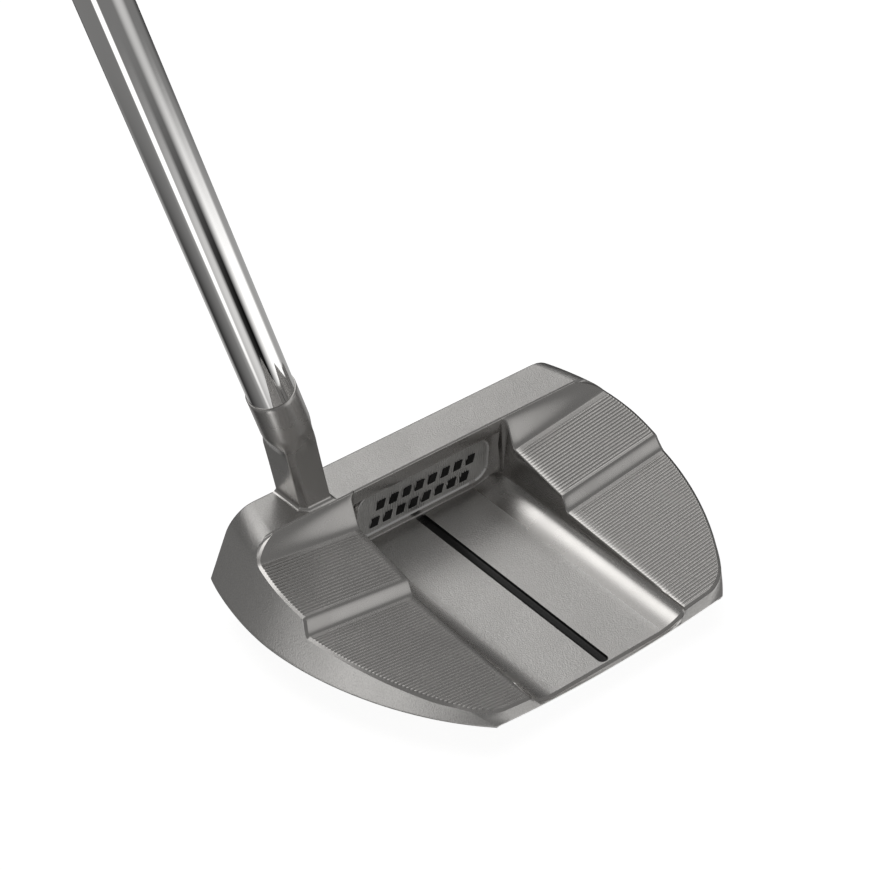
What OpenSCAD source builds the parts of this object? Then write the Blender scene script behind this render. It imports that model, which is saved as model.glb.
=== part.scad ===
// Right-handed mid-mallet putter: milled head, over-hosel steel shaft and pistol grip.
// Origin on the flat of the sole. +X runs heel to toe, +Y towards the target, +Z up.

/* [Head] */
// Width of the head at its sole edge, heel to toe
head_w = 100.6; // [92:0.2:112]
// Depth from the top of the face to the rear edge
head_depth = 65; // [58:0.5:72]
// Height of the flat top flange above the sole
flange_h = 23; // [21:0.5:28]
// Depth of the top flange, front to back
flange_depth = 9.9; // [8:0.1:13]
// Loft of the face in degrees
loft = 3; // [2:0.5:5]
// Height of the sole edge, where the skirt turns under
edge_h = 7; // [5:0.25:12]
// Inward lean of the skirt at flange height
skirt_lean = 5.4; // [3:0.2:8]

/* [Terraces] */
// Upward tilt of the terraces towards heel and toe, in degrees
dish = 7.9; // [0:0.1:12]
// Drop from the front terrace to the rear terrace
terrace_step = 3.1; // [2:0.1:5]
// Front to back length of the front terrace
terrace_len = 14; // [10:0.5:18]
// Pitch of the milled ridges
ridge_pitch = 0.7; // [0.5:0.05:1.2]
// Height of the milled ridges
ridge_h = 0.12; // [0.05:0.01:0.3]

/* [Channel] */
// Width of the central channel between the terrace edges
channel_w = 41; // [34:0.5:46]
// Width of the channel's flat floor
floor_w = 26; // [20:0.5:34]
// Height of the channel floor above the sole
floor_h = 5.7; // [4.5:0.1:9]
// Width of the sight groove
sight_w = 2.1; // [1.2:0.1:3]
// Depth of the sight groove
sight_depth = 0.9; // [0.5:0.1:1.5]

/* [Badge] */
// Width of the badge
badge_w = 35.2; // [28:0.2:38]
// Height of the badge
badge_h = 10; // [8:0.2:12]
// Thickness of the badge
badge_t = 1.4; // [1:0.1:2]
// Thickness of the tape behind the badge
tape_t = 0.25; // [0.1:0.05:0.5]

/* [Sole weights] */
// Diameter of each screw-in sole weight
weight_d = 14; // [10:0.5:16]
// Height of each sole weight
weight_h = 4; // [3:0.5:6]
// Distance of each weight from the middle of the head
weight_x = 31; // [26:0.5:36]

/* [Shaft] */
// Lie angle of the shaft in degrees
lie = 69; // [68:0.5:74]
// Length of the putter, sole to butt, along the shaft
putter_len = 864; // [813:1:914]
// Outside diameter of the shaft at its tip
tip_d = 9.4; // [9:0.1:9.6]
// Outside diameter of the shaft at its butt
butt_d = 14.7; // [14:0.1:15.4]
// Wall thickness of the shaft
shaft_wall = 0.5; // [0.4:0.05:0.8]
// Number of steps between tip and butt
shaft_steps = 10; // [6:1:14]
// Height of the hosel's top above the sole
hosel_top = 52.5; // [45:0.5:65]
// Outside diameter of the hosel collar
collar_d = 9.9; // [9.5:0.1:12]
// Length of the post inside the shaft
post_len = 28; // [20:1:40]

/* [Grip] */
// Length of the grip
grip_len = 266; // [230:1:340]
// Width of the grip's flat front
grip_w = 24; // [20:0.5:36]
// Thickness of the grip's end cap
cap_t = 3.5; // [2:0.5:6]

/* [Hidden] */
$fn = 64;
eps = 0.01;
face_y = 30;
wide_y = 10;
rear_y = face_y - head_depth;
flange_y = face_y - flange_depth;
wall_y = flange_y + 1.8;
brow_h = 4.5;
proud = 0.9;
badge_z = flange_h - 9.8;
terrace_y = flange_y - 3.6;
step_y = terrace_y - terrace_len;
step_run = 2.3;
front_z = flange_h - 9.35;
terrace_fall = 3;
rear_fall = 2.6;
epoxy_t = 0.1;
grip_tape_t = 0.2;
post_r = tip_d / 2 - shaft_wall - epoxy_t;
ring_s = hosel_top / sin(lie);
axis_x = -36.8 + hosel_top / tan(lie);
axis_y = 25.1;
step_start = 330;
step_len = 27;
step_r = (butt_d - tip_d) / 2 / shaft_steps;
butt_s = putter_len - cap_t;
grip_s = putter_len - cap_t - grip_len;
edge_tilt = 2.4;
weight_z = 2.9;
washer_t = 0.6;

// Half width of the sole edge at a distance y along the head
function half_w(y) = head_w / 2 * (y < wide_y
    ? sqrt(1 - pow((wide_y - y) / 56, 1.8))
    : sqrt(1 - pow((y - wide_y) / 51.9, 2)));

// Side of the outline, front to rear, drawn in by a margin
function side(margin, s) = [
    for (i = [0 : 30])
        let (y = face_y + 4 - (head_depth + 4) * i / 30)
            [s * (half_w(y) - margin), y * (1 - margin / 36)]
];

function reversed(list) = [for (i = [len(list) - 1 : -1 : 0]) list[i]];

// Smooth S between two points of a profile
function s_curve(a, b, n) = [
    for (i = [0 : n])
        let (t = i / n, u = t * t * (3 - 2 * t))
            [a[0] + (b[0] - a[0]) * t, a[1] + (b[1] - a[1]) * u]
];

// Row of ridges from one point of a profile to another
function ridges(a, b) =
    let (n = floor((a[0] - b[0]) / ridge_pitch), d = (b - a) / n)
        [for (i = [0 : n - 1]) each [a + d * i, a + d * (i + 0.5) + [0, ridge_h]]];

// Thin slice of the head's outline
module slice(z, margin, tilt = 0) {
    translate([0, 0, z])
        rotate([tilt, 0, 0])
            linear_extrude(eps)
                polygon(concat(side(margin, 1), reversed(side(margin, -1))));
}

// Solid outside of the head, before the milling cuts
module head_blank() {
    difference() {
        hull() {
            slice(flange_h - eps, skirt_lean);
            slice(edge_h, 0, edge_tilt);
            slice(edge_h - 2.2, 1.4, edge_tilt);
            slice(1.8, 9);
            slice(0.5, 16);
            slice(0, 23);
        }
        translate([0, face_y, flange_h])
            rotate([loft, 0, 0])
                translate([-100, 0, -60])
                    cube([200, 40, 100]);
    }
}

// Side profile of the two ridged terraces and the wall behind the flange
module terrace_profile() {
    front = [terrace_y, front_z];
    front_end = [step_y, front_z - terrace_fall];
    rear = [step_y - step_run, front_z - terrace_fall - terrace_step];
    rear_end = [rear_y + 2.3, rear[1] - rear_fall];
    polygon(concat(
        [[flange_y, 60]],
        s_curve([flange_y, flange_h - 2.85], front, 8),
        ridges([terrace_y - 0.5, front_z], front_end),
        s_curve(front_end, rear, 8),
        ridges([rear[0] - 0.5, rear[1]], rear_end),
        [rear_end, [rear_y - 8, rear_end[1] - 0.5], [rear_y - 8, 60]]
    ));
}

// Cut that leaves the terraces on the toe side
module terrace_cut() {
    rotate([0, -dish, 0])
        translate([channel_w / 2 - 2, 0, 0])
            rotate([90, 0, 90])
                linear_extrude(60)
                    terrace_profile();
}

// Cross-section of the central channel with its curved sides
module channel_profile() {
    a = (channel_w - floor_w) / 2;
    b = 3;
    right = [for (i = [0 : 8])
        [floor_w / 2 + a * sin(i * 90 / 8), floor_h + b * (1 - cos(i * 90 / 8))]];
    left = [for (p = reversed(right)) [-p[0], p[1]]];
    polygon(concat(right, [[channel_w / 2, 60], [-channel_w / 2, 60]], left));
}

module channel_cut() {
    translate([0, flange_y, 0])
        rotate([90, 0, 0])
            linear_extrude(head_depth)
                channel_profile();
    translate([0, wall_y, 0])
        rotate([90, 0, 0])
            linear_extrude(4)
                intersection() {
                    channel_profile();
                    translate([-channel_w / 2 + 0.5, 0])
                        square([channel_w - 1, flange_h - brow_h]);
                }
}

// Rounded badge outline, standing in the wall
module badge_plate(w, h, y0, y1) {
    r = h * 0.4;
    translate([0, y1, badge_z])
        rotate([90, 0, 0])
            linear_extrude(y1 - y0)
                union() {
                    square([w - 2 * r, h], center = true);
                    square([w, h - 2 * r], center = true);
                    for (x = [-1, 1], z = [-1, 1])
                        translate([x * (w / 2 - r), z * (h / 2 - r)])
                            circle(r);
                }
}

// Places its children along the shaft, with z measured from the sole
module on_shaft() {
    translate([axis_x, axis_y, 0])
        rotate([0, lie - 90, 0])
            children();
}

// Rectangular neck section with one chamfered corner
module neck_slice(z, x0, w, d, t = 0.5) {
    c = 2;
    translate([x0, 0, z])
        linear_extrude(t)
            polygon([[0, face_y - 0.4], [w, face_y - 0.4], [w, face_y - d],
                [c, face_y - d], [0, face_y - d + c]]);
}

module neck() {
    hull() {
        neck_slice(flange_h - 3, -31.4, 7.7, 8.8);
        neck_slice(flange_h + 15, -36, 8.4, 8.8);
    }
    hull() {
        neck_slice(flange_h + 14, -35.6, 8.2, 8.7);
        on_shaft()
            translate([0, 0, ring_s - 9])
                cylinder(d = collar_d + 0.4, h = 1, $fn = 32);
    }
    on_shaft() {
        translate([0, 0, ring_s - 8.5])
            cylinder(d = collar_d, h = 8.5);
        translate([0, 0, ring_s - 1])
            cylinder(r = post_r, h = post_len + 1);
    }
}

module weight_seats() {
    for (x = [-weight_x, weight_x])
        translate([x, 2, -5])
            cylinder(d = weight_d + 0.2, h = weight_z + weight_h + washer_t + 5);
}

module head_body() {
    color([0.62, 0.61, 0.59])
        difference() {
            union() {
                difference() {
                    head_blank();
                    terrace_cut();
                    mirror([1, 0, 0])
                        terrace_cut();
                    channel_cut();
                }
                neck();
            }
            badge_plate(badge_w + 0.2, badge_h + 0.2, wall_y - 1, wall_y + badge_t - proud + tape_t);
            translate([-sight_w / 2, rear_y + 0.6, floor_h - sight_depth])
                cube([sight_w, wall_y - rear_y - 1.2, 5]);
            weight_seats();
        }
}

module sole_weights() {
    color([0.45, 0.45, 0.46])
        for (x = [-weight_x, weight_x])
            translate([x, 2, weight_z])
                difference() {
                    cylinder(d = weight_d, h = weight_h);
                    translate([0, 0, -1])
                        cylinder(d = 4, h = 3, $fn = 6);
                }
}

module weight_washers() {
    color([0.1, 0.1, 0.1])
        for (x = [-weight_x, weight_x])
            translate([x, 2, weight_z + weight_h])
                difference() {
                    cylinder(d = weight_d, h = washer_t);
                    translate([0, 0, -1])
                        cylinder(d = weight_d - 5, h = washer_t + 2);
                }
}

// Slanted bars of the badge's plain pattern
module bars(y0, y1) {
    for (row = [0, 1], i = [0 : 7])
        translate([(i - 3.5) * 3.4 + (row - 0.5) * 1.4, y1, badge_z + (row - 0.5) * 3.8])
            rotate([90, 0, 0])
                linear_extrude(y1 - y0)
                    polygon([[-1.2, -1], [0.7, -1], [1.2, 1], [-0.7, 1]]);
}

module cavity_badge() {
    front = wall_y - proud;
    color([0.85, 0.85, 0.86])
        difference() {
            badge_plate(badge_w, badge_h, front, front + badge_t);
            bars(front - 1, front + 0.3);
        }
}

module badge_marks() {
    front = wall_y - proud;
    color([0.05, 0.05, 0.05])
        bars(front + 0.1, front + 0.3);
}

module badge_tape() {
    back = wall_y - proud + badge_t;
    color([0.8, 0.8, 0.75])
        badge_plate(badge_w, badge_h, back, back + tape_t);
}

module sight_line_fill() {
    color([0.03, 0.03, 0.03])
        translate([-sight_w / 2, rear_y + 0.6, floor_h - sight_depth])
            cube([sight_w, wall_y - rear_y - 1.2, 0.25]);
}

module shaft_epoxy() {
    color([0.7, 0.65, 0.5])
        on_shaft()
            translate([0, 0, ring_s])
                difference() {
                    cylinder(r = post_r + epoxy_t, h = post_len - 2);
                    translate([0, 0, -1])
                        cylinder(r = post_r, h = post_len);
                }
}

module shaft() {
    outer = [for (i = [0 : shaft_steps]) each [
        [tip_d / 2 + i * step_r, i == 0 ? ring_s : step_start + (i - 1) * step_len],
        [tip_d / 2 + i * step_r, i == shaft_steps ? butt_s : step_start + i * step_len]
    ]];
    inner = [for (p = reversed(outer)) [p[0] - shaft_wall, p[1]]];
    color([0.9, 0.9, 0.92])
        on_shaft()
            rotate_extrude()
                polygon(concat(outer, inner));
}

module shaft_band() {
    r = tip_d / 2 + 9 * step_r;
    color([0.12, 0.12, 0.13])
        on_shaft()
            translate([0, 0, step_start + 8 * step_len + 3])
                difference() {
                    cylinder(r = r + 0.15, h = step_len - 6);
                    translate([0, 0, -1])
                        cylinder(r = r, h = step_len);
                }
}

module grip_tape() {
    color([0.85, 0.83, 0.75])
        on_shaft()
            translate([0, 0, grip_s + 3])
                difference() {
                    cylinder(d = butt_d + 2 * grip_tape_t, h = grip_len - 3);
                    translate([0, 0, -1])
                        cylinder(d = butt_d, h = grip_len + 2);
                }
}

// Grip section: flat front on +X, rounded back that swells by b
module grip_slice(s, w, b) {
    translate([0, 0, s])
        linear_extrude(0.5)
            intersection() {
                union() {
                    translate([-b, 0])
                        circle(d = w, $fn = 40);
                    translate([-b, -w / 2])
                        square([w / 2 + b, w]);
                }
                translate([-40, -40])
                    square([40 + w * 0.41, 80]);
            }
}

module grip() {
    color([0.08, 0.08, 0.09])
        on_shaft()
            difference() {
                union() {
                    hull() {
                        grip_slice(grip_s, grip_w * 0.74, 0);
                        grip_slice(grip_s + 30, grip_w * 0.86, 0);
                    }
                    hull() {
                        grip_slice(grip_s + 30, grip_w * 0.86, 0);
                        grip_slice(grip_s + grip_len * 0.6, grip_w * 0.94, 1.5);
                    }
                    hull() {
                        grip_slice(grip_s + grip_len * 0.6, grip_w * 0.94, 1.5);
                        grip_slice(grip_s + grip_len * 0.85, grip_w, 5);
                    }
                    hull() {
                        grip_slice(grip_s + grip_len * 0.85, grip_w, 5);
                        grip_slice(butt_s - 0.5, grip_w, 7.5);
                    }
                }
                translate([0, 0, grip_s - 1])
                    cylinder(d = butt_d + 2 * grip_tape_t, h = grip_len + 2);
            }
}

module grip_cap() {
    color([0.05, 0.05, 0.05])
        on_shaft()
            difference() {
                hull() {
                    grip_slice(butt_s, grip_w, 7.5);
                    grip_slice(butt_s + cap_t - 0.5, grip_w - 4, 7);
                }
                translate([0, 0, butt_s - 1])
                    cylinder(d = 2, h = cap_t + 2);
            }
}

head_body();
sole_weights();
weight_washers();
cavity_badge();
badge_marks();
badge_tape();
sight_line_fill();
shaft_epoxy();
shaft();
shaft_band();
grip_tape();
grip();
grip_cap();
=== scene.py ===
"""Mallet putter: head, badge, sight line, shaft and grip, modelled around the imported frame."""

import math

import bmesh
import bpy
import numpy as np
from mathutils import Matrix, Vector


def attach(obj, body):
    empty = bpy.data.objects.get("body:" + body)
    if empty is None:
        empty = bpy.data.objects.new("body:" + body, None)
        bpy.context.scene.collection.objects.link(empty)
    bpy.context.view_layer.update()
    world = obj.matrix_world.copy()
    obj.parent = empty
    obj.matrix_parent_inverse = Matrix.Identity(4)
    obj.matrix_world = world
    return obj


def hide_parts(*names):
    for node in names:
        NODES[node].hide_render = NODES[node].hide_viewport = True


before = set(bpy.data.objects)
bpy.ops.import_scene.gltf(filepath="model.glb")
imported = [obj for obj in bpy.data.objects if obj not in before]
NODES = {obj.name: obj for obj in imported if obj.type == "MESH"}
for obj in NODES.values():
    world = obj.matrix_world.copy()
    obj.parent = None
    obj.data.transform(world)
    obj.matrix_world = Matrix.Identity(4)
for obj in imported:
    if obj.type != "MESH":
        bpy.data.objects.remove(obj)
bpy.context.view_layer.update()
MM = 0.001

# ------------------------------------------------------------------ sizes, in millimetres
HEAD_W = 100.6
WIDE_Y = 10.0
FACE_Y = 30.0
FRONT_R = 0.4
ROUND_Y = FACE_Y - FRONT_R
REAR_Y = -34.2
FLANGE_Z = 23.0
FLANGE_Y = 20.1
TERRACE_Y = 16.5
STEP_Y = (0.2, 2.5)
FRONT_Z, FRONT_DISH, FRONT_FALL = 16.5, 0.1405, 0.214
BACK_Z, BACK_DISH, BACK_FALL = 10.4, 0.1352, 0.079
RIM_Y = -32.7
WALL_Y = 21.9
BROW_Z = 19.4
BROW_CORNER_R = 1.1
POCKET_R = 2.5
CHANNEL = 20.5
FLOOR_HALF = 13.0
FILLET_H = 3.0
SKIRT_LEAN = 0.31
SKIRT_TURN_Y = -24.0
SHOULDER_R = 4.7
CORNER_R = 3.2
RIM_W = 0.65
LOFT = math.tan(math.radians(3.0))
RIDGE_PITCH = 0.7
RIDGE_H = 0.15
GROOVE_W = 1.05
GROOVE_D = 0.9
WEIGHT_X = 31.0
WEIGHT_Y = 2.0
SEAT_R = 7.15
SEAT_TOP = 6.95
SEAT_BELOW = 5.5
LIE = math.radians(69.0)
RING_Z = 52.5
NECK_FOOT_Z = 22.8
NECK_HALF = (3.4, 4.2)
NECK_CHAMFER = 1.1
NECK_EDGE_POWER = 70.0
COLLAR_Z = 44.5
COLLAR_R = 4.95
AXIS_Y = 25.1
AXIS_X = -36.8 + RING_Z / math.tan(LIE)
RING_S = RING_Z / math.sin(LIE)
TIP_R = 4.7
BUTT_R = 7.35
BUTT_S = 860.5
SHAFT_WALL = 0.5
SHAFT_STEPS = 10
STEP_START = 330
STEP_LEN = 27
STEP_R = (BUTT_R - TIP_R) / SHAFT_STEPS
BADGE_HALF = (17.8, 5.5)
BADGE_R = 3.8
BADGE_Z = 13.9
BEZEL_W = 0.6
FLUTE_PITCH = 0.62
UP = np.array([-math.cos(LIE), 0.0, math.sin(LIE)])
SIDE = np.array([math.sin(LIE), 0.0, math.cos(LIE)])


def smooth(t):
    t = np.clip(t, 0.0, 1.0)
    return t * t * (3.0 - 2.0 * t)


def mix(a, b, t):
    return a + (b - a) * t


def half_w(y):
    rear = np.sqrt(1 - np.power(np.clip((WIDE_Y - y) / 56.6, 0, 1), 1.8))
    front = np.sqrt(1 - np.square(np.clip((y - WIDE_Y) / 51.9, 0, 1)))
    return HEAD_W / 2 * np.where(y < WIDE_Y, rear, front)


def edge_z(y):
    return 7.45 + 0.025 * y


def floor_z(y):
    return 5.0 + 0.0227 * (y + 32.9)


def ridge(y):
    """Height of the milled ridges, which run heel to toe on both terraces."""
    wave = 0.5 - 0.5 * np.cos(2 * math.pi * (y - RIM_Y) / RIDGE_PITCH)
    front = smooth((y - STEP_Y[1] - 0.3) / 0.3) * smooth((TERRACE_Y - 0.6 - y) / 0.3)
    rear = smooth((y - RIM_Y) / 0.3) * smooth((STEP_Y[0] - 0.4 - y) / 0.3)
    return RIDGE_H * (wave - 0.5) * np.maximum(front, rear)


def terrace_z(x, y):
    """Height of the terraces: a rear one, a step up, a front one and a rise to the flange."""
    x = np.abs(x)
    front = FRONT_Z + (x - CHANNEL) * FRONT_DISH - (TERRACE_Y - y) * FRONT_FALL
    rear = BACK_Z + (x - CHANNEL) * BACK_DISH - (STEP_Y[0] - y) * BACK_FALL
    z = mix(rear, front, smooth((y - STEP_Y[0]) / (STEP_Y[1] - STEP_Y[0])))
    t = np.clip((y - TERRACE_Y) / (FLANGE_Y - TERRACE_Y), 0, 1)
    rise = 0.6 * smooth(t) + 0.4 * t ** 1.6
    edge = FLANGE_Z - 0.22 * smooth((FLANGE_Y + 0.33 - y) / 0.3)
    return mix(z, edge, rise)


def outer_x(y, z):
    """Half width of the head at a height on its skirt."""
    d = np.clip(z - (FLANGE_Z - SHOULDER_R), 0, SHOULDER_R)
    rounding = SHOULDER_R - np.sqrt(np.maximum(SHOULDER_R**2 - d * d, 0))
    return half_w(y) - SKIRT_LEAN * (z - edge_z(y)) - rounding


def sole_z(x, y):
    """Height of the cambered sole: flat in the middle, rising to the edge and the rear."""
    middle = 4.3 * smooth((-y - 6) / 28.2) ** 2.4 + 0.5 * smooth((y - 23) / 7)
    u = np.clip(np.abs(x) / half_w(y), 0, 1)
    return middle + (edge_z(y) - 0.6 - middle) * u**2.4


def cut_seat(bm, x, y, r, top):
    """A round blind hole in the sole, for a weight."""
    def reach(co):
        return math.hypot(co.x / MM - x, co.y / MM - y)

    low = [f for f in bm.faces if f.verts[0].co.z < SEAT_BELOW * MM]
    inside = [f for f in low if all(reach(v.co) < r for v in f.verts)]
    bmesh.ops.delete(bm, geom=inside, context="FACES")
    edges = [e for e in bm.edges if e.is_boundary and reach(e.verts[0].co) < r + 1.5]
    for v in {v for e in edges for v in e.verts}:
        k = r / reach(v.co)
        px, py = x + (v.co.x / MM - x) * k, y + (v.co.y / MM - y) * k
        v.co = (px * MM, py * MM, float(sole_z(px, py)) * MM)
    new = bmesh.ops.extrude_edge_only(bm, edges=edges)["geom"]
    for v in new:
        if isinstance(v, bmesh.types.BMVert):
            v.co.z = top * MM
    bmesh.ops.contextual_create(bm, geom=[e for e in new if isinstance(e, bmesh.types.BMEdge)])


def mesh_object(name, grids, material, mats=(), seats=(), angle=38):
    """One mesh from grids of points in millimetres, welded where they meet."""
    bm = bmesh.new()
    for g, slots in grids:
        rows, cols = g.shape[:2]
        verts = [bm.verts.new((p[0] * MM, p[1] * MM, p[2] * MM)) for p in g.reshape(-1, 3).tolist()]
        for i in range(rows - 1):
            for j in range(cols - 1):
                k = i * cols + j
                f = bm.faces.new((verts[k], verts[k + 1], verts[k + cols + 1], verts[k + cols]))
                if slots is not None:
                    f.material_index = int(slots[i, j])
    bmesh.ops.remove_doubles(bm, verts=bm.verts, dist=2e-6)
    bmesh.ops.dissolve_degenerate(bm, dist=1e-6, edges=bm.edges)
    for seat in seats:
        cut_seat(bm, *seat)
    bmesh.ops.recalc_face_normals(bm, faces=bm.faces)
    me = bpy.data.meshes.new(name)
    bm.to_mesh(me)
    bm.free()
    for m in (material, *mats):
        me.materials.append(m)
    me.polygons.foreach_set("use_smooth", np.ones(len(me.polygons), bool))
    me.set_sharp_from_angle(angle=math.radians(angle))
    ob = bpy.data.objects.new(name, me)
    bpy.context.scene.collection.objects.link(ob)
    return ob


# ------------------------------------------------------------------ materials
def new_material(name, color, metallic, rough):
    m = bpy.data.materials.new(name)
    m.use_nodes = True
    nt = m.node_tree
    b = nt.nodes["Principled BSDF"]
    b.inputs["Base Color"].default_value = (*color, 1)
    b.inputs["Metallic"].default_value = metallic
    b.inputs["Roughness"].default_value = rough
    return m, nt, b


def noise(nt, scale, detail=2.0, stretch=(1, 1, 1)):
    co = nt.nodes.new("ShaderNodeTexCoord")
    mp = nt.nodes.new("ShaderNodeMapping")
    mp.inputs["Scale"].default_value = stretch
    tx = nt.nodes.new("ShaderNodeTexNoise")
    tx.inputs["Scale"].default_value = scale
    tx.inputs["Detail"].default_value = detail
    nt.links.new(co.outputs["Object"], mp.inputs["Vector"])
    nt.links.new(mp.outputs["Vector"], tx.inputs["Vector"])
    return tx


def spread(nt, tex, low, high):
    r = nt.nodes.new("ShaderNodeMapRange")
    r.inputs["From Min"].default_value = 0.3
    r.inputs["From Max"].default_value = 0.7
    r.inputs["To Min"].default_value = low
    r.inputs["To Max"].default_value = high
    nt.links.new(tex.outputs["Fac"], r.inputs["Value"])
    return r


def bump(nt, b, tex, strength, distance):
    n = nt.nodes.new("ShaderNodeBump")
    n.inputs["Strength"].default_value = strength
    n.inputs["Distance"].default_value = distance
    nt.links.new(tex.outputs["Fac"], n.inputs["Height"])
    nt.links.new(n.outputs["Normal"], b.inputs["Normal"])


def shade(nt, b, color, value):
    """Base colour multiplied by a varying value."""
    n = nt.nodes.new("ShaderNodeVectorMath")
    n.operation = "SCALE"
    n.inputs[0].default_value = color
    nt.links.new(value, n.inputs["Scale"])
    nt.links.new(n.outputs["Vector"], b.inputs["Base Color"])


def finish(name, color, rough, grain, strength, vary=0.04, stretch=(1, 1, 1), speck=0.0, ridges=0.0,
           metallic=1.0):
    """A surface with grain, uneven roughness and specks; ridges paints a highlight on the ridge tops and
    shade in their troughs.
    """
    m, nt, b = new_material(name, color, metallic, rough)
    if not metallic:
        b.inputs["Specular IOR Level"].default_value = 0.25
    tx = noise(nt, grain, 3.0, stretch)
    bump(nt, b, tx, strength, 0.00008)
    r = spread(nt, noise(nt, 120, 4.0), rough - vary, rough + vary)
    nt.links.new(r.outputs["Result"], b.inputs["Roughness"])
    value = spread(nt, tx, 1.0 - speck, 1.0 + speck).outputs["Result"]
    # painted highlight on the ridge tops and painted shade in their troughs, scaled by the ridges
    # attribute
    if ridges:
        at = nt.nodes.new("ShaderNodeAttribute")
        at.attribute_name = "ridges"
        k = nt.nodes.new("ShaderNodeMath")
        k.operation = "MULTIPLY_ADD"
        nt.links.new(at.outputs["Fac"], k.inputs[0])
        k.inputs[1].default_value = ridges
        nt.links.new(value, k.inputs[2])
        value = k.outputs[0]
    shade(nt, b, color, value)
    return m


# the satin steel gets painted highlight on its ridge tops and painted shade in their troughs
satin = finish("satin_steel", (0.57, 0.558, 0.545), 0.26, 9000, 0.1, speck=0.03, ridges=0.3)
blasted = finish("blasted_steel", (0.61, 0.60, 0.588), 0.34, 3600, 0.9, speck=0.10)
chrome = finish("chrome", (0.86, 0.855, 0.85), 0.035, 400, 0.02, vary=0.01)
brushed = finish("brushed_chrome", (0.80, 0.80, 0.79), 0.30, 2600, 0.35, 0.08, (1, 1, 0.06), speck=0.08)
dark_paint = finish("black_paint", (0.010, 0.010, 0.010), 0.3, 2500, 0.5, speck=0.3, metallic=0.0)
rubber = finish("grip_rubber", (0.018, 0.018, 0.019), 0.6, 900, 1.0, speck=0.25, metallic=0.0)
cap_plastic = finish("cap_plastic", (0.03, 0.03, 0.032), 0.42, 2500, 0.3, speck=0.15, metallic=0.0)
vinyl = finish("band_vinyl", (0.012, 0.012, 0.013), 0.22, 700, 0.15, speck=0.2, metallic=0.0)
tape_film = finish("tape_film", (0.62, 0.60, 0.55), 0.5, 1500, 0.3, speck=0.08, metallic=0.0)
epoxy = finish("epoxy", (0.35, 0.33, 0.28), 0.3, 800, 0.3, speck=0.1, metallic=0.0)


# ------------------------------------------------------------------ head
def head_rows():
    """Paired rear-to-front stations: y on the terraces, y in the channel, and how far up the wall."""
    fine = RIDGE_PITCH / 7
    outer = np.concatenate([
        RIM_Y + np.array([0, 0.004, 0.016, 0.04]), np.arange(RIM_Y + fine, -0.15, fine),
        np.linspace(-0.1, 2.7, 24), np.arange(2.75, 16.3, fine), np.linspace(16.4, 20.0, 30),
        FLANGE_Y - np.array([0.06, 0.03, 0.01, 0])])
    inner = outer.copy()
    s = outer > TERRACE_Y
    inner[s] = mix(TERRACE_Y, WALL_Y - 0.35, (outer[s] - TERRACE_Y) / (FLANGE_Y - TERRACE_Y))
    rows = [(o, i, 0.0, None) for o, i in zip(outer, inner)]
    wall = [(WALL_Y - 0.35 + 0.35 * math.sin(a), 0.03 * (1 - math.cos(a)), None)
            for a in np.linspace(0.3, math.pi / 2, 4)]
    wall += [(WALL_Y, h, None) for h in np.linspace(0.08, 0.97, 8)]
    wall += [(WALL_Y - 0.1, 1.0, BROW_Z), (FLANGE_Y + 0.5, 1.0, BROW_Z),
             (FLANGE_Y + 0.12, 1.0, BROW_Z + 0.12),
             (FLANGE_Y, 1.0, BROW_Z + 0.5), (FLANGE_Y, 1.0, 20.5), (FLANGE_Y, 1.0, FLANGE_Z - 0.4),
             (FLANGE_Y + 0.04, 1.0, FLANGE_Z - 0.24), (FLANGE_Y + 0.28, 1.0, FLANGE_Z - 0.04),
             (FLANGE_Y + 0.38, 1.0, FLANGE_Z)]
    n = len(wall)
    for k, (y, h, z) in enumerate(wall):
        rows.append((FLANGE_Y + 0.38 * (k + 1) / n, y, h, z))
    for y in np.linspace(FLANGE_Y + 0.5, ROUND_Y - 0.1, 22):
        rows.append((y, y, 1.0, FLANGE_Z))
    for a in np.linspace(0, math.pi / 2, 6):
        y = ROUND_Y + FRONT_R * math.sin(a)
        rows.append((y, y, 1.0, FLANGE_Z))
    return rows


def rim_x(y):
    """Where the skirt would meet the top surface."""
    x = 45.0
    for _ in range(30):
        x = mix(x, float(outer_x(y, terrace_z(x, y) - 0.34)), 0.6)
    return x


def inner_x(y):
    """Half width of the top surface inside its rim, with rounded corners in plan."""
    top = float(outer_x(y, FLANGE_Z))
    if y >= FLANGE_Y:
        return top
    x = rim_x(y) - RIM_W
    if y < RIM_Y + CORNER_R:
        x -= CORNER_R - math.sqrt(max(CORNER_R**2 - (RIM_Y + CORNER_R - y) ** 2, 0))
    if y > FLANGE_Y - CORNER_R:
        x -= CORNER_R - math.sqrt(max(CORNER_R**2 - (y - FLANGE_Y + CORNER_R) ** 2, 0))
        x = max(x, top)
    return x


def skirt_top(x, y):
    """Height at which the skirt is x from the middle."""
    lo, hi = float(edge_z(y)), FLANGE_Z
    for _ in range(30):
        mid = (lo + hi) / 2
        if outer_x(y, mid) > x:
            lo = mid
        else:
            hi = mid
    return lo


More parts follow.
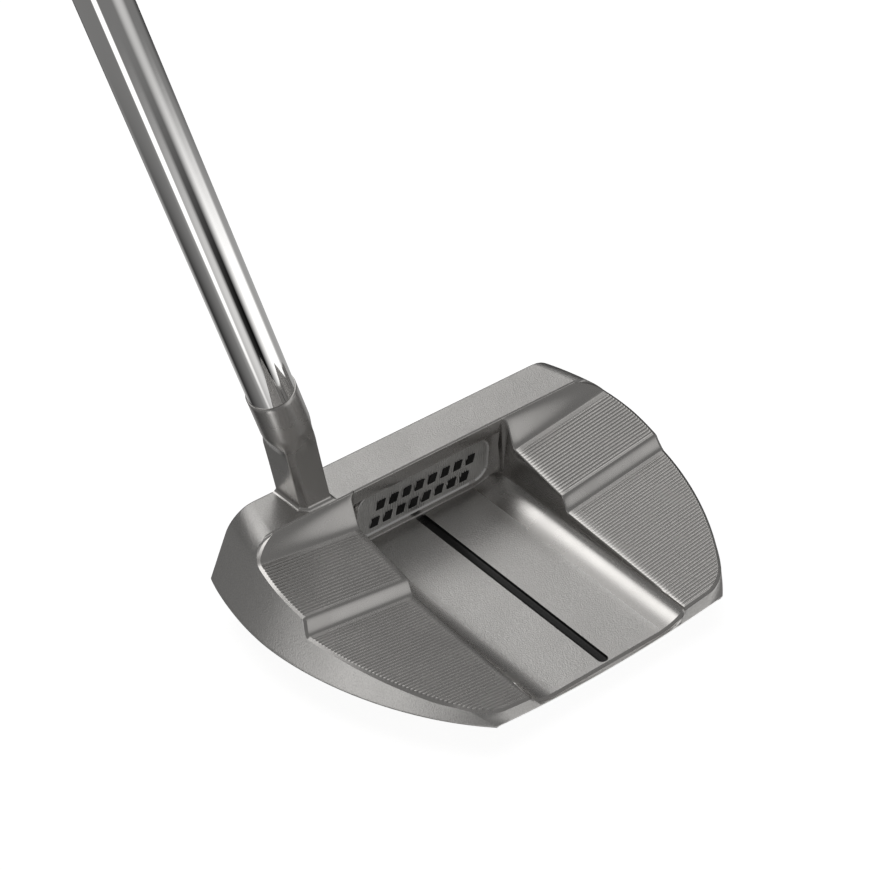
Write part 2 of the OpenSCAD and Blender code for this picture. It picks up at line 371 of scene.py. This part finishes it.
def head_top_row(yo, yi, h, zi, x_end):
    """Right half of one row across the top: sight groove, floor, channel side, terrace."""
    fz = float(floor_z(min(yi, WALL_Y)))
    start = CHANNEL
    if yo > FLANGE_Y - BROW_CORNER_R:
        past = min(yo, FLANGE_Y) - FLANGE_Y + BROW_CORNER_R
        start -= BROW_CORNER_R - math.sqrt(max(BROW_CORNER_R**2 - past**2, 0))
    over = zi is not None and zi > BROW_Z + 0.05
    squeeze = start / CHANNEL if over else 1.0
    under = h > 0 and not over and yi > WALL_Y - 0.2
    pts = []

    def inner(x, zf):
        y = yi
        if under or yi > WALL_Y - POCKET_R and h == 0:
            d = max(x - (CHANNEL - POCKET_R), 0)
            y = min(yi, WALL_Y - POCKET_R + math.sqrt(max(POCKET_R**2 - d * d, 0)))
        return (x * squeeze, y, zi if zi is not None else mix(zf, BROW_Z, h))

    depth = GROOVE_D if h == 0 else 0.0
    gw = GROOVE_W * math.sqrt(min(max(1 - (max(-31.4 - yo, 0) / 1.1) ** 2, 0), 1))
    if gw < 0.2:
        gw, depth = 0.2, 0.0
    for x, d in ((0, depth), (gw - 0.05, depth), (gw, min(depth, 0.15)), (gw + 0.16, 0)):
        pts.append(inner(x, fz - d))
    for x in np.linspace(gw + 0.16, FLOOR_HALF, 6)[1:]:
        pts.append(inner(x, fz))
    for t in np.linspace(0, math.pi / 2, 15)[1:]:
        x = FLOOR_HALF + (CHANNEL - FLOOR_HALF) * math.sin(t)
        pts.append(inner(x, fz + FILLET_H * (1 - math.cos(t))))
    foot = pts[-1]
    round_off = 0.3 if zi is None or zi < FLANGE_Z - 0.2 else 0.0
    edge = float(terrace_z(start + 0.3, yo))
    for t in (0.25, 0.5, 0.75, 1.0):
        height = mix(foot[2], max(edge - round_off, foot[2]), t)
        pts.append((mix(foot[0], start, t), mix(foot[1], yo, t), height))
    pts.append((start + 0.1, yo, edge - round_off / 3))
    span = np.append(np.linspace(start + 0.3, x_end - 0.24, 20), (x_end - 0.12, x_end))
    fade = smooth((span - start - 0.3) / 0.3) * smooth((x_end - span) / 0.15)
    z = terrace_z(span, yo) + ridge(yo) * fade
    pts += [(float(x), yo, float(v)) for x, v in zip(span, z)]
    return pts


def rim_normals(line, n):
    """Outward direction in plan at each point of the rim, whose first n points run along the side."""
    tangent = np.gradient(line[:n, :2], axis=0)
    normal = np.tile([0.0, -1.0], (len(line), 1))
    flat = np.hypot(tangent[:, 0], tangent[:, 1])
    normal[:n] = np.stack([-tangent[:, 1], tangent[:, 0]], axis=1) / flat[:, None]
    normal[:n, 1] *= smooth((FLANGE_Y - line[:n, 1]) / 0.6)
    normal[n - 1] = (0, -1)
    return normal


def rim_outside(line, normal, n):
    """Outer edge of the narrow rim, a little lower than its inner edge."""
    width = RIM_W * smooth((FLANGE_Y + 0.1 - line[:, 1]) / 1.4)
    out = line.copy()
    out[:, :2] += normal * width[:, None]
    out[:, 2] -= 0.6 * width
    for k in range(n):
        x, y, z = out[k]
        t = float(smooth((y + 29) / 5))
        if t > 0 and y < FLANGE_Y:
            out[k, 2] = mix(z, min(skirt_top(x, y), line[k, 2] - 0.02), t)
    return out


def sole_edge(out, turn):
    """Sole edge below each point of the rim, whose points from turn on are at the rear."""
    first = int(np.argmax(out[:, 1] < SKIRT_TURN_Y))
    run = np.cumsum(np.hypot(*np.gradient(out[:, :2], axis=0).T))
    rear_w, corner_z, middle_z = float(half_w(REAR_Y)), float(edge_z(REAR_Y)), 4.8
    edge = out.copy()
    for k in range(len(out)):
        if k < turn:
            y = out[k, 1]
            if k > first:
                y = mix(SKIRT_TURN_Y, REAR_Y, (run[k] - run[first]) / (run[turn] - run[first]))
            edge[k] = (float(half_w(y)), y, float(edge_z(y)))
        else:
            x = rear_w * out[k, 0] / out[turn, 0]
            edge[k] = (x, REAR_Y, middle_z + (corner_z - middle_z) * (x / rear_w) ** 2)
    return edge


def skirt_rows(out, edge, turn):
    """Rows down the skirt from the rim, then round the sole edge and on to the sole."""
    rows = []
    for v in np.linspace(0, 1, 22) ** 1.5:
        p = mix(out, edge, v)
        s = out[:, 1] > SKIRT_TURN_Y
        p[s, 0] = np.where(p[s, 1] > SKIRT_TURN_Y, outer_x(p[s, 1], p[s, 2]), p[s, 0])
        rows.append(p)
    rows[0] = out
    inward = np.where(np.arange(len(out)) < turn, 1.0, 0.0)
    for step, drop in ((0.03, 0.2), (0.16, 0.42), (0.6, 0.6)):
        p = edge.copy()
        p[:, 0] -= step * np.maximum(inward, edge[:, 0] / edge[turn, 0])
        p[:, 1] += step * (1 - inward)
        p[:, 2] -= drop
        rows.append(p)
    last = rows[-1]
    last[:, 2] = sole_z(last[:, 0], last[:, 1])
    return np.array(rows)


def sole_grid(last, f):
    """The sole, from its middle line out to the last row of the skirt."""
    spine = np.where(last[:, 1] > -20, last[:, 1], 0)
    k0 = int(np.argmax(last[:, 1] <= -20))
    spine[k0:] = mix(last[k0, 1], last[-1, 1], np.linspace(0, 1, len(last) - k0))
    sole = np.zeros((len(last), len(f), 3))
    sole[..., 0] = last[:, None, 0] * f
    sole[..., 1] = mix(spine[:, None], last[:, None, 1], f)
    sole[..., 2] = sole_z(sole[..., 0], sole[..., 1])
    return sole


def face_grid(top_row, sole_row, side_column):
    """The face, between the front rows of the top and the sole and the front column of the skirt."""
    hi, lo = side_column[0, 2], side_column[-1, 2]
    rows = []
    for p in side_column:
        row = mix(top_row, sole_row, (hi - p[2]) / (hi - lo))
        row[-1] = p
        rows.append(row)
    rows[0], rows[-1] = top_row, sole_row
    return np.array(rows)


def round_front(top, side, sole, face):
    """Rounds the edges of the face and leans the front by the loft."""
    mid_z, half_x, half_z = 13, 42.0, 11.0
    for g in (top, side, sole):
        a = np.arcsin(np.clip((g[..., 1] - ROUND_Y) / FRONT_R, 0, 1))
        inset = FRONT_R * (1 - np.cos(a))
        g[..., 0] *= 1 - inset / half_x
        g[..., 2] = mid_z + (g[..., 2] - mid_z) * (1 - inset / half_z)
        g[..., 1] += (FLANGE_Z - g[..., 2]) * LOFT * smooth((g[..., 1] - 18) / 11.6)
    face[..., 0] *= 1 - FRONT_R / half_x
    face[..., 2] = mid_z + (face[..., 2] - mid_z) * (1 - FRONT_R / half_z)
    face[..., 1] = FACE_Y + (FLANGE_Z - face[..., 2]) * LOFT
    face[0], face[-1], face[:, -1] = top[-1], sole[0], side[:, 0]


def head_slots(top):
    """Material of each quad on the top: 0 satin, 1 blasted, 2 black paint."""
    x, y, z = np.abs(top[:-1, :-1, 0]), top[:-1, :-1, 1], top[:-1, :-1, 2]
    flange = (z > FLANGE_Z - 0.02) & (y > FLANGE_Y) & (y < ROUND_Y)
    channel_floor = (x < FLOOR_HALF + 1.5) & (z > 4) & (z < 7)
    slots = (flange | channel_floor).astype(int)
    slots[(x < GROOVE_W + 0.02) & (z < floor_z(y) - 0.1) & (y < WALL_Y - 0.3)] = 2
    return slots


def store_ridge_highlight_and_shade(ob):
    """Stores on each point how high it stands on its ridge; the material turns it into painted highlight
    on the tops and painted shade in the troughs.
    """
    co = np.empty(len(ob.data.vertices) * 3)
    ob.data.vertices.foreach_get("co", co)
    x, y, z = co.reshape(-1, 3).T / MM
    on_top = (np.abs(x) > CHANNEL + 0.4) & (np.abs(z - terrace_z(x, y)) < RIDGE_H) & (y < 16)
    height = np.where(on_top, ridge(y) / RIDGE_H, 0.0)
    ob.data.attributes.new("ridges", "FLOAT", "POINT").data.foreach_set("value", height)


def build_head():
    """Head without its neck: the toe half is built, and the heel half mirrors it."""
    top = np.array([head_top_row(*row, inner_x(row[0])) for row in head_rows()])
    n = len(top)
    line = np.concatenate([top[::-1, -1], top[0, -2::-1]])
    normal = rim_normals(line, n)
    out = rim_outside(line, normal, n)
    turn = int(np.argmax(np.abs(normal[:n, 1]) * (line[:n, 1] < -20) > 0.7071))
    rim = np.stack([mix(line, out, f) for f in (0, 0.12, 0.5, 0.86, 1)])
    skirt = skirt_rows(out, sole_edge(out, turn), turn)
    sole = sole_grid(skirt[-1], top[-1, :, 0] / top[-1, -1, 0])
    side = np.concatenate([rim, skirt[1:]])
    face = face_grid(top[-1], sole[0], side[:, 0])
    round_front(top, side, sole, face)
    side_slots = np.ones(side.shape[:2], int)
    side_slots[:len(rim) - 1] = 0
    grids = [(top, head_slots(top)), (side, side_slots), (sole, None), (face, None)]
    grids += [(g * [-1, 1, 1], slots) for g, slots in grids]
    seats = [(x, WEIGHT_Y, SEAT_R, SEAT_TOP) for x in (WEIGHT_X, -WEIGHT_X)]
    ob = mesh_object("head_shell", grids, satin, (blasted, dark_paint), seats)
    # ridge heights for the painted highlight and shade on the terraces
    store_ridge_highlight_and_shade(ob)
    return ob


def place_on_shaft(s, r, ang):
    """Ring of points round the shaft axis, a distance s up it."""
    c = np.array([AXIS_X, AXIS_Y, 0.0]) + UP * s
    return c + np.outer(r * np.cos(ang), SIDE) + np.outer(r * np.sin(ang), [0, 1, 0])


def neck_ring(z, ang):
    """One section of the neck, which turns from a chamfered block into the round collar."""
    a, b = NECK_HALF
    faces = [(0, a), (math.pi, a), (math.pi / 2, b), (-math.pi / 2, b),
             (-2.36, (a + b - NECK_CHAMFER) / math.sqrt(2))]
    flare = 0.0
    if z < 23.9:
        flare = 0.9 - math.sqrt(max(0.9**2 - min(23.9 - z, 0.9) ** 2, 0))
    sides = sum((np.maximum(np.cos(ang - t), 0) / (d + flare)) ** NECK_EDGE_POWER for t, d in faces)
    m = float(smooth((z - 37.0) / 6.5))
    r = mix(sides ** (-1 / NECK_EDGE_POWER), COLLAR_R, m)
    low = np.array([-27.75 - 0.262 * (z - FLANGE_Z), 25.4, z])
    high = np.array([AXIS_X, AXIS_Y, 0.0]) + UP * z / math.sin(LIE)
    across = mix(np.array([1.0, 0, 0]), SIDE, float(smooth((z - 30) / 12)))
    pts = mix(low, high, m) + np.outer(r * np.cos(ang), across) + np.outer(r * np.sin(ang), [0, 1, 0])
    pts[:, 1] = np.minimum(pts[:, 1], FACE_Y - 0.25)
    return pts


def build_neck():
    ang = np.linspace(0, 2 * math.pi, 361)
    heights = np.concatenate([np.linspace(NECK_FOOT_Z, 24.2, 16), np.linspace(25.2, 36, 10),
                              np.linspace(36.5, COLLAR_Z, 34)])
    rings = [neck_ring(z, ang) for z in heights]
    for s in np.linspace(COLLAR_Z / math.sin(LIE), RING_S - 0.12, 10)[1:]:
        rings.append(place_on_shaft(s, COLLAR_R, ang))
    for r, d in ((4.92, 0.03), (4.86, 0.0), (4.3, 0.0)):
        rings.append(place_on_shaft(RING_S - d, r, ang))
    return mesh_object("head_neck", [(np.array(rings), None)], satin)


def build_shaft():
    """Stepped tube, as radius and distance up the shaft."""
    prof = [(TIP_R - 0.5, RING_S), (TIP_R - 0.1, RING_S), (TIP_R, RING_S + 0.1), (TIP_R, 200),
            (TIP_R, STEP_START - 0.3)]
    for i in range(SHAFT_STEPS):
        r = TIP_R + STEP_R * (i + 1)
        s = STEP_START + i * STEP_LEN
        prof += [(r - 0.26, s - 0.3), (r, s + 0.3)]
    prof += [(BUTT_R, BUTT_S), (BUTT_R - SHAFT_WALL, BUTT_S)]
    ang = np.linspace(0, 2 * math.pi, 193)
    rings = [place_on_shaft(s, r, ang) for r, s in prof]
    return mesh_object("shaft_tube", [(np.array(rings), None)], chrome)


def badge_outline(inset, n=50):
    """Rounded rectangle of the badge, as points (x, z)."""
    w, h, r = BADGE_HALF[0] - inset, BADGE_HALF[1] - inset, BADGE_R - inset
    pts = []
    for cx, cz, a0 in ((w - r, h - r, 0), (r - w, h - r, 90), (r - w, r - h, 180), (w - r, r - h, 270)):
        for a in np.radians(np.linspace(a0, a0 + 90, n)):
            pts.append((cx + r * math.cos(a), BADGE_Z + cz + r * math.sin(a)))
    return np.array(pts + pts[:1])


def build_bezel():
    """Raised border of the badge, as pairs of inset and y."""
    rings = []
    for inset, y in ((0, 21.86), (0, 21.25), (0.08, 21.06), (0.2, 20.96), (0.36, 20.96), (0.66, 21.2),
                     (0.7, 21.86), (0, 21.86)):
        p = badge_outline(inset)
        rings.append(np.stack([p[:, 0], np.full(len(p), y), p[:, 1]], axis=1))
    return mesh_object("badge_bezel", [(np.array(rings), None)], chrome)


def build_field():
    """Fluted plate inside the bezel, with slightly wandering flutes."""
    w, h, r = BADGE_HALF[0] - BEZEL_W, BADGE_HALF[1] - BEZEL_W, BADGE_R - BEZEL_W
    xs = np.arange(0.01 - w, w, FLUTE_PITCH / 8)
    drop = r - np.sqrt(np.maximum(r * r - np.maximum(np.abs(xs) - (w - r), 0) ** 2, 0))
    z = BADGE_Z + np.linspace(-1, 1, 41)[:, None] * (h - drop)
    x = np.broadcast_to(xs, z.shape)
    bend = 0.16 * np.sin(0.9 * z + 0.35 * x) + 0.10 * np.sin(2.3 * z - 0.2 * x)
    y = 21.2 + 0.1 * np.abs(np.sin(math.pi * (x + bend) / FLUTE_PITCH)) ** 0.8
    front = np.stack([x, y, z], axis=-1)
    back = front.copy()
    back[..., 1] = 21.84
    edges = [np.stack([front[i], back[i]]) for i in (0, -1)]
    edges += [np.stack([front[:, i], back[:, i]]) for i in (0, -1)]
    return mesh_object("badge_field", [(g, None) for g in (front, back, *edges)], brushed)


def build_fill():
    """Black paint lying in the sight groove, a little hollow across."""
    rounded = -32.3 + 0.9 * (1 - np.cos(np.linspace(0.25, math.pi / 2, 8)))
    t = np.linspace(-1, 1, 9)
    rows = []
    for y in np.concatenate([rounded, np.linspace(-31, WALL_Y - 0.05, 60)]):
        w = 0.99 * math.sqrt(min(max(1 - max(-31.4 - y, 0) ** 2, 0.02), 1))
        z = float(floor_z(y)) - 0.42 - 0.16 * (1 - t * t)
        base = z[0] - 0.3
        ring = [(w * k, y, v) for k, v in zip(t, z)]
        rows.append(ring + [(w, y, base), (-w, y, base), (-w, y, z[0])])
    rows = np.array(rows)
    ends = [np.stack([rows[k], rows[k].mean(axis=0) + 0 * rows[k]]) for k in (0, -1)]
    return mesh_object("sight_paint", [(g, None) for g in (rows, *ends)], dark_paint)


head = build_head()
fill = build_fill()
bezel = build_bezel()
field = build_field()
neck = build_neck()
shaft = build_shaft()
for ob, slot, node in ((head, "head_steel", "head_body"), (neck, "head_steel", "head_body"),
                       (fill, "black_paint", "sight_line_fill"),
                       (bezel, "badge_chrome", "cavity_badge"), (field, "badge_chrome", "cavity_badge"),
                       (shaft, "shaft_chrome", "shaft")):
    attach(ob, "root")
    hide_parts(node)

for name, mat in (("badge_marks", dark_paint), ("grip", rubber), ("grip_cap", cap_plastic),
                  ("shaft_band", vinyl), ("sole_weights", blasted), ("weight_washers", rubber),
                  ("badge_tape", tape_film), ("grip_tape", tape_film), ("shaft_epoxy", epoxy)):
    me = NODES[name].data
    me.materials.clear()
    me.materials.append(mat)

# ------------------------------------------------------------------ stage
floor_mat, nt, b = new_material("floor_white", (0.35, 0.35, 0.35), 0.0, 0.8)
b.inputs["Emission Color"].default_value = (1, 1, 1, 1)
b.inputs["Emission Strength"].default_value = 0.9
bump(nt, b, noise(nt, 40), 0.05, 0.001)
me = bpy.data.meshes.new("floor")
me.from_pydata([(-6, -6, 0), (6, -6, 0), (6, 6, 0), (-6, 6, 0)], [], [(0, 1, 2, 3)])
me.materials.append(floor_mat)
floor = bpy.data.objects.new("floor", me)
bpy.context.scene.collection.objects.link(floor)
floor.visible_glossy = False

world = bpy.data.worlds.new("studio")
bpy.context.scene.world = world
world.use_nodes = True
wt = world.node_tree
direction = wt.nodes.new("ShaderNodeTexCoord").outputs["Generated"]


def along(axis):
    """How far the direction looked at points along an axis, from -1 to 1."""
    n = wt.nodes.new("ShaderNodeVectorMath")
    n.operation = "DOT_PRODUCT"
    wt.links.new(direction, n.inputs[0])
    n.inputs[1].default_value = Vector(axis).normalized()
    return n.outputs["Value"]


def ease(value, lo, hi, a=0.0, b=1.0):
    """Soft change from a to b while a value goes from lo to hi."""
    n = wt.nodes.new("ShaderNodeMapRange")
    n.interpolation_type = "SMOOTHSTEP"
    for key, v in zip(("From Min", "From Max", "To Min", "To Max"), (lo, hi, a, b)):
        n.inputs[key].default_value = v
    wt.links.new(value, n.inputs["Value"])
    return n.outputs["Result"]


def calc(op, a, b):
    n = wt.nodes.new("ShaderNodeMath")
    n.operation = op
    for k, v in enumerate((a, b)):
        if isinstance(v, (int, float)):
            n.inputs[k].default_value = v
        else:
            wt.links.new(v, n.inputs[k])
    return n.outputs[0]


def blend_to(a, b, t):
    return calc("ADD", calc("MULTIPLY", a, calc("SUBTRACT", 1.0, t)), calc("MULTIPLY", b, t))


# overhead: bright, but dark far toward the toe, with patches (brightness, axis, from, to)
sky = ease(along((1, 0, 0)), 0.58, 0.68, 1.18, 0.16)
for value, axis, lo, hi in ((0.38, (0.38, 0.30, 0.87), 0.95, 0.99), (1.9, (-0.08, 0.57, 0.8), 0.93, 0.995),
                            (0.22, (1, 0, 0), -0.2, -0.45), (0.22, (0, 1, 0), 0.20, -0.25),
                            (0.04, (0, 1, 0), 0.64, 0.80)):
    sky = blend_to(sky, value, ease(along(axis), lo, hi))

# lower down: a dim wall, a soft box beyond the heel and another to the camera's right
dim = ease(along((0.6, 0.8, 0)), 0.6, 0.9, 0.2, 0.06)
light = blend_to(dim, sky, ease(along((0, 0, 1)), 0.15, 0.45))
light = blend_to(light, 0.95, ease(along((-0.97, -0.1, -0.21)), 0.80, 0.99))
light = blend_to(light, 0.7, ease(along((0.55, -0.81, -0.17)), 0.86, 0.98))

# below the horizon: brightness round the shaft's axis, as pairs of degrees and value
STOPS = [(0, 0.29), (25, 0.3), (85, 0.36), (97, 0.36), (123, 0.02), (137, 0.05), (185, 0.16), (233, 0.58),
         (242, 0.55), (255, 0.02), (275, 0.0), (284, 0.3), (303, 1.0), (340, 1.0), (353, 0.33)]
turn = calc("ARCTAN2", along((0, 1, 0)), along(tuple(SIDE)))
turn = calc("FRACT", calc("ADD", calc("DIVIDE", turn, 2 * math.pi), 1.0), 0.0)
strips = wt.nodes.new("ShaderNodeValToRGB")
wt.links.new(turn, strips.inputs[0])
ramp = strips.color_ramp.elements
for end, (deg, v) in zip((ramp[0], ramp[1]), (STOPS[0], STOPS[-1])):
    end.position = deg / 360
    end.color = (v, v, v, 1)
for deg, v in STOPS[1:-1]:
    ramp.new(deg / 360).color = (v, v, v, 1)
below = ease(along(tuple(-UP)), 0.64, 0.72)
light = blend_to(light, calc("MULTIPLY", strips.outputs["Color"], 1.3), below)

# a small bright patch low behind the heel, for the neck's chamfer
light = blend_to(light, 1.5, ease(along((-0.40, -0.37, -0.85)), 0.987, 0.997))
bg = wt.nodes["Background"]
tint = wt.nodes.new("ShaderNodeCombineColor")
wt.links.new(light, tint.inputs["Red"])
wt.links.new(calc("MULTIPLY", light, 0.995), tint.inputs["Green"])
wt.links.new(calc("MULTIPLY", light, 0.985), tint.inputs["Blue"])
wt.links.new(tint.outputs["Color"], bg.inputs["Color"])
bg.inputs["Strength"].default_value = 1.0

# ------------------------------------------------------------------ camera
YAW, PITCH, ROLL = (math.radians(v) for v in (43.538, 37.096, -3.448))
CAMERA_AT = (-0.3190, -0.3170, 0.3788)
fwd = Vector((math.sin(YAW) * math.cos(PITCH), math.cos(YAW) * math.cos(PITCH), -math.sin(PITCH)))
level = Vector((math.cos(YAW), -math.sin(YAW), 0))
down = fwd.cross(level)
cam_x = math.cos(ROLL) * level + math.sin(ROLL) * down
cam_y = math.sin(ROLL) * level - math.cos(ROLL) * down
cam_data = bpy.data.cameras.new("camera")
cam_data.sensor_width = 36
cam_data.lens = 122.17
cam_data.clip_start = 0.01
cam = bpy.data.objects.new("camera", cam_data)
bpy.context.scene.collection.objects.link(cam)
turned = Matrix((cam_x, cam_y, -fwd)).transposed()
cam.matrix_world = Matrix.Translation(CAMERA_AT) @ turned.to_4x4()
bpy.context.scene.camera = cam
bpy.context.scene.view_settings.view_transform = "Standard"
